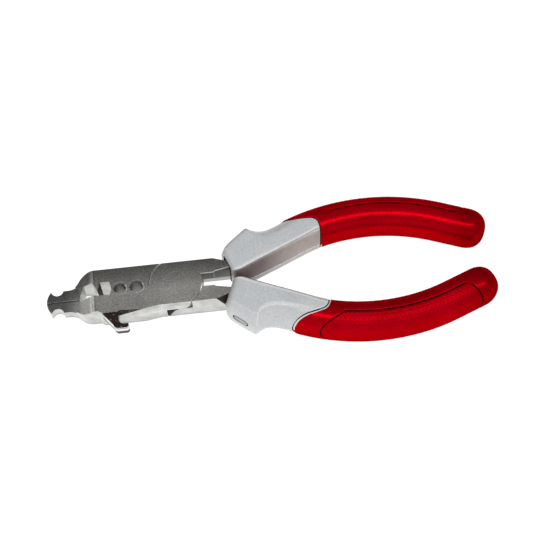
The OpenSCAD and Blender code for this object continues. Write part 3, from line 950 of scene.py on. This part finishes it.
def build_badge():
    """Blank oval plate with a raised rim and a slightly domed middle."""
    matrix = badge_matrix()
    levels = [(0.02, 0.45), (0.0, 0.9), (0.12, 1.02), (0.3, 1.04), (0.5, 0.92), (0.62, 0.86), (1.0, 0.88)]
    verts = []
    columns = 0
    for inset, height in levels:
        outline = rounded_box(3.15 - inset, 1.5 - inset, max(1.49 - inset, 0.25), 8)
        columns = len(outline)
        verts += [matrix @ (Vector((x, y, height)) * MM) for x, y in outline]
    faces = ring_faces(len(levels), columns)
    verts.append(matrix @ (Vector((0, 0, 0.96)) * MM))
    base = (len(levels) - 1) * columns
    faces += [(len(verts) - 1, base + j, base + (j + 1) % columns) for j in range(columns)]
    faces.append(tuple(range(columns - 1, -1, -1)))
    obj = mesh_object("upper_badge_plate", verts, faces, 35)
    obj.data.materials.append(BADGE)
    return obj


badge = build_badge()
lower_badge = turned_over(badge, "lower_badge_plate")


# ---------------------------------------------------------------- grip
PAD_A = math.radians(-97.0)
PAD_B = math.radians(80.0)
PAD_RIM = 0.85
DEG_PER_MM = math.radians(7.1)


def pad_ends(a):
    """Stations where the pad starts and ends at angle a: its ends slant at both edges."""
    n, w = grip_point(60, a)
    leaned = n - PAD_LEAN * w
    start = smooth(leaned, [(-6, 46.3), (0.5, 46.3), (7.9, 37.4), (9.5, 36.4)], 0.3)
    end = smooth(leaned, [(-6, 96.2), (0.4, 96.2), (1.8, 98.4), (7.4, 100.3), (9.5, 100.6)], 0.3)
    return start, end


def wall_profile(distance):
    """Depth of the pad's pocket at a distance inside its outline, with a rounded lip."""
    return lookup(distance, [(-0.3, 0), (-0.12, 0.04), (0, 0.2), (0.05, 0.5), (0.1, PAD_DEPTH)])


def grip_edge(s, a):
    """Station of the grip's front edge at angle a, where s is a first guess of it."""
    n, w = grip_point(s, a)
    return seam_station(n, w) + across_seam(n, w, SEAM_GAP)


def build_grip():
    """Grip from the seam to its rounded end, with the pad's pocket sunk into its outer side."""
    steps = [-0.3, -0.12, 0, 0.05, 0.1]
    pad_columns = 44
    rest_columns = 60
    angles = []
    depths = []
    for step in steps:
        angles.append(PAD_A + step * DEG_PER_MM)
        depths.append(wall_profile(step))
    low = PAD_A + 0.6 * DEG_PER_MM
    high = PAD_B - 0.6 * DEG_PER_MM
    for i in range(pad_columns + 1):
        angles.append(low + (high - low) * i / pad_columns)
        depths.append(PAD_DEPTH)
    for step in reversed(steps):
        angles.append(PAD_B - step * DEG_PER_MM)
        depths.append(wall_profile(step))
    low = PAD_B + 0.7 * DEG_PER_MM
    high = PAD_A + 2 * math.pi - 0.7 * DEG_PER_MM
    for i in range(rest_columns + 1):
        angles.append(low + (high - low) * i / rest_columns)
        depths.append(0.0)
    count = len(angles)
    seams = [33.0] * count
    for _ in range(6):
        seams = [grip_edge(s, a) for s, a in zip(seams, angles)]
    lips = [across_seam(*grip_point(s, a), LIP) for s, a in zip(seams, angles)]
    ends = [pad_ends(a) for a in angles]
    rows = []
    for scale in (0.72, 0.94):
        rows.append([("lip", scale)] * count)
    for share in (0.0, 0.35, 0.7, 1.0):
        rows.append([(seams[j] + share * lips[j], 0.0) for j in range(count)])
    for i in range(1, 17):
        t = i / 16
        row = []
        for j in range(count):
            start = seams[j] + lips[j]
            row.append((start + (ends[j][0] - 0.3 - start) * t ** 1.15, 0.0))
        rows.append(row)
    for step in steps[1:]:
        rows.append([(ends[j][0] + step, wall_profile(step)) for j in range(count)])
    for i in range(61):
        t = i / 60
        rows.append([(start + 0.6 + (end - start - 1.2) * t, PAD_DEPTH) for start, end in ends])
    for step in reversed(steps):
        rows.append([(ends[j][1] - step, wall_profile(step)) for j in range(count)])
    tail = 26
    for i in range(1, tail):
        t = i / tail
        share = 1 - (1 - t) ** 1.9
        rows.append([(end + 0.3 + (HANDLE_LEN - end - 0.3) * share, 0.0) for _, end in ends])
    verts = []
    sunk = []
    for row in rows:
        for j, (s, depth) in enumerate(row):
            if s == "lip":
                n, w = grip_point(seams[j], angles[j])
                verts.append(at(seams[j] + (1 - depth) * 0.4, n * depth, w * depth))
                sunk.append(True)
                continue
            push = -min(depth, depths[j])
            rim = 0.16 * max(0.0, 1 - (s - seams[j]) / 0.5) ** 2
            n, w = grip_point(s, angles[j], push - rim)
            verts.append(at(s, n, w))
            sunk.append(push < -0.3)
    faces = ring_faces(len(rows), count)
    red, black, grey = 0, 1, 2
    slots = [black if any(sunk[v] for v in face) else red for face in faces]
    for i in range(1, 5):
        for j in range(count):
            if grip_point(50, angles[j])[1] < -0.2 and grip_point(50, angles[(j + 1) % count])[1] < -0.2:
                slots[i * count + j] = grey
    verts.append(at(35, 0, 0))
    verts.append(at(HANDLE_LEN, 0, 0))
    faces += [(len(verts) - 2, (j + 1) % count, j) for j in range(count)]
    base = (len(rows) - 1) * count
    faces += [(len(verts) - 1, base + j, base + (j + 1) % count) for j in range(count)]
    slots += [black] * count + [red] * count
    obj = mesh_object("upper_grip_moulding", verts, faces, 50, slots)
    obj.data.materials.append(GRIP)
    obj.data.materials.append(CORE)
    obj.data.materials.append(LIP_GREY)
    return obj


def dimple(s, t):
    """0 between dimples, 1 at the middle of one, on a staggered lattice."""
    pitch = 1.75
    row_pitch = pitch * 0.866
    row = round(t / row_pitch)
    best = 1e9
    for r in (row - 1, row, row + 1):
        offset = pitch / 2 if r % 2 else 0.0
        column = round((s - offset) / pitch)
        for c in (column - 1, column, column + 1):
            best = min(best, (s - c * pitch - offset) ** 2 + (t - r * row_pitch) ** 2)
    d = math.sqrt(best) / 0.68
    return 0.0 if d >= 1 else 0.5 + 0.5 * math.cos(math.pi * d)


def pad_station(kind, value, start, end):
    """Station of one row of the pad: a lip row from either end, or a share of the middle."""
    if kind == "start_lip":
        return start + value
    if kind == "end_lip":
        return end - value
    return start + PAD_RIM + (end - start - 2 * PAD_RIM) * value


def build_pad():
    """Dimpled inlay with a rounded rim, a little smaller than its pocket, closed underneath."""
    gap = 0.36
    columns = 104
    lip = [(0, 0.95), (0.03, 0.4), (0.12, 0.2), (0.32, 0.08), (0.6, 0.03)]
    first = PAD_A + gap * DEG_PER_MM
    last = PAD_B - 0.62 * DEG_PER_MM
    angles = [first + x * DEG_PER_MM for x, _ in lip]
    depths = [d for _, d in lip]
    low = first + PAD_RIM * DEG_PER_MM
    high = last - PAD_RIM * DEG_PER_MM
    for i in range(columns + 1):
        angles.append(low + (high - low) * i / columns)
        depths.append(0.02)
    angles += [last - x * DEG_PER_MM for x, _ in reversed(lip)]
    depths += [d for _, d in reversed(lip)]
    count = len(angles)
    length_rows = 250
    ts = [("start_lip", x, d) for x, d in lip]
    ts += [("middle", i / length_rows, 0.02) for i in range(length_rows + 1)]
    ts += [("end_lip", x, d) for x, d in reversed(lip)]
    verts = []
    for kind, value, depth in ts:
        for j, a in enumerate(angles):
            start, end = pad_ends(a)
            start += gap
            end -= gap
            s = pad_station(kind, value, start, end)
            around = a / DEG_PER_MM
            inside = min(s - start, end - s, around - first / DEG_PER_MM, last / DEG_PER_MM - around)
            fade = min(1.0, max(0.0, (inside - 0.7) / 0.8))
            push = -max(depth, depths[j]) - 0.17 * fade * dimple(s, around)
            n, w = grip_point(s, a, push)
            verts.append(at(s, n, w))
    rows = len(ts)
    faces = ring_faces(rows, count, closed=False)
    under = 12
    base = len(verts)
    for i in range(rows):
        kind, value, depth = ts[i]
        for k in range(1, under):
            j = round((count - 1) * k / under)
            start, end = pad_ends(angles[j])
            start += gap
            end -= gap
            s = pad_station(kind, value, start, end)
            n, w = grip_point(s, angles[j], -0.97)
            verts.append(at(s, n, w))

    def below(i, k):
        if k == 0:
            return i * count
        if k == under:
            return i * count + count - 1
        return base + i * (under - 1) + k - 1

    for i in range(rows - 1):
        for k in range(under):
            faces.append((below(i, k), below(i + 1, k), below(i + 1, k + 1), below(i, k + 1)))
    for i, order in ((0, 1), (rows - 1, -1)):
        for k in range(under):
            j0 = 0 if k == 0 else round((count - 1) * k / under)
            j1 = count - 1 if k == under - 1 else round((count - 1) * (k + 1) / under)
            top = [i * count + j for j in range(j0, j1 + 1)]
            loop = top + [b for b in (below(i, k + 1), below(i, k)) if b not in top]
            if len(loop) > 2:
                faces.append(tuple(loop[::order]))
    obj = mesh_object("upper_grip_inlay", verts, faces, 50)
    obj.data.materials.append(PAD)
    return obj


def build_rib(name, outer_table):
    """Black core showing in the seam, just under both the collar's and the grip's surface."""
    inner_edge = []
    for s, n, w in collar_seam(outer_table):
        half_w = (lookup(s, UPPER_OUTER) + lookup(s, INNER)) / 2
        centre = half_w - lookup(s, INNER)
        c = abs((n - centre) / half_w)
        d = abs(w / lookup(s, THICK))
        scale = min(1.0, (c ** GRIP_POWER + d ** GRIP_POWER) ** (-1 / GRIP_POWER)) * 0.978
        inner_edge.append((s, centre + (n - centre) * scale, w * scale, across_seam(n, w, SEAM_GAP)))
    verts = []
    rings = ((0, -0.3, 0.97), (0, -0.02, 1.0), (1, 0.0, 1.0), (1, 0.3, 0.97), (0, 0.2, 0.75))
    for share, extra, scale in rings:
        verts += [at(s + share * gap + extra, n * scale, w * scale) for s, n, w, gap in inner_edge]
    count = len(inner_edge)
    faces = ring_faces(len(rings), count)
    last = (len(rings) - 1) * count
    faces += [(last + j, last + (j + 1) % count, (j + 1) % count, j) for j in range(count)]
    obj = mesh_object(name, verts, faces, 30)
    obj.data.materials.append(CORE)
    return obj


grip = build_grip()
pad = build_pad()
rib = build_rib("upper_core_rib", UPPER_OUTER)
lower_rib = build_rib("lower_rib_moulding", LOWER_OUTER)
upper = {"collar": collar, "badge": badge, "grip": grip, "pad": pad, "rib": rib}
lower = {
    "collar": lower_collar,
    "badge": lower_badge,
    "grip": turned_over(grip, "lower_grip_moulding"),
    "pad": turned_over(pad, "lower_grip_inlay"),
    "rib": turned_over(lower_rib, "lower_core_rib"),
}
bpy.data.objects.remove(lower_rib)
for side, pieces, body in (("upper", upper, "front_lever"), ("lower", lower, "rear_lever")):
    for piece in pieces.values():
        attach(piece, body)
    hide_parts(side + "_collar")
    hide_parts(side + "_badge")
    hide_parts(side + "_grip")
    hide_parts(side + "_grip_pad")
    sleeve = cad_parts[side + "_core_sleeve"]
    sleeve.data.materials.clear()
    sleeve.data.materials.append(CORE)


# ---------------------------------------------------------------- floor, light and camera
def build_floor():
    """Plain white floor at the part's lowest point, with its own glow so that it stays white."""
    low = cad_box[0][2]
    size = 1.6
    mesh = bpy.data.meshes.new("floor")
    corners = [(-size, -size, low), (size, -size, low), (size, size, low), (-size, size, low)]
    mesh.from_pydata(corners, [], [(0, 1, 2, 3)])
    floor = bpy.data.objects.new("floor", mesh)
    SCENE.collection.objects.link(floor)
    m = Nodes("floor_white")
    cloud = m.noise(3, 2, 0.5)
    colour = m.ramp(cloud, [(0.3, (0.2, 0.2, 0.2)), (0.7, (0.21, 0.21, 0.21))])
    surface = m.finish(
        colour, m.remap(cloud, 0, 1, 0.7, 0.75), m.bump(cloud, 0.00001, 0.1),
        emission_color=(1, 1, 1, 1), emission_strength=1.0, specular_ior_level=0.0,
    )
    floor.data.materials.append(surface)


def build_world():
    """Soft white surround, darker toward +Y."""
    world = bpy.data.worlds.new("studio")
    SCENE.world = world
    world.use_nodes = True
    tree = world.node_tree
    coord = tree.nodes.new("ShaderNodeTexCoord")
    split = tree.nodes.new("ShaderNodeSeparateXYZ")
    ramp = tree.nodes.new("ShaderNodeValToRGB")
    stops = [(0.0, 0.5), (0.45, 0.5), (0.6, 0.42), (0.75, 0.3), (0.88, 0.08), (1.0, 0.02)]
    while len(ramp.color_ramp.elements) < len(stops):
        ramp.color_ramp.elements.new(0.5)
    for element, (place, level) in zip(ramp.color_ramp.elements, stops):
        element.position = place
        element.color = (level, level, level * 1.02, 1)
    scale = tree.nodes.new("ShaderNodeMapRange")
    scale.inputs["From Min"].default_value = -1
    tree.links.new(coord.outputs["Generated"], split.inputs[0])
    tree.links.new(split.outputs["Y"], scale.inputs["Value"])
    tree.links.new(scale.outputs["Result"], ramp.inputs["Fac"])
    tree.links.new(ramp.outputs["Color"], tree.nodes["Background"].inputs["Color"])
    tree.nodes["Background"].inputs["Strength"].default_value = 1.0


def area_light(name, place, target, size, power, colour):
    data = bpy.data.lights.new(name, "AREA")
    data.shape = "RECTANGLE"
    data.size, data.size_y = size
    data.energy = power
    data.color = colour
    light = bpy.data.objects.new(name, data)
    SCENE.collection.objects.link(light)
    light.location = place
    light.rotation_euler = (Vector(target) - Vector(place)).to_track_quat("-Z", "Y").to_euler()


def build_camera():
    azimuth = math.radians(-3.93)
    elevation = math.radians(63.45)
    roll = math.radians(-2.55)
    distance = 502.12
    look = Vector((36.76, 6.11, 5.0))
    back = Vector((
        math.sin(azimuth) * math.cos(elevation),
        -math.cos(azimuth) * math.cos(elevation),
        math.sin(elevation),
    ))
    right = Vector((math.cos(azimuth), math.sin(azimuth), 0))
    up = back.cross(right)
    side = math.cos(roll) * right + math.sin(roll) * up
    top = -math.sin(roll) * right + math.cos(roll) * up
    place = (look + back * distance) * MM
    data = bpy.data.cameras.new("camera")
    data.lens = 83.966
    data.sensor_width = 36
    data.clip_start = 0.01
    camera = bpy.data.objects.new("camera", data)
    SCENE.collection.objects.link(camera)
    camera.matrix_world = Matrix((
        (side.x, top.x, back.x, place.x),
        (side.y, top.y, back.y, place.y),
        (side.z, top.z, back.z, place.z),
        (0, 0, 0, 1),
    ))
    SCENE.camera = camera


build_floor()
build_world()
middle = (30 * MM, 0.0, 0.0)
area_light("overhead_strip", (0.03, -0.04, 0.9), middle, (1.4, 0.09), 4.0, (0.95, 0.98, 1.0))
area_light("front_soft", (0.0, -0.9, 0.45), middle, (1.2, 0.6), 0.6, (1.0, 0.97, 0.94))
build_camera()
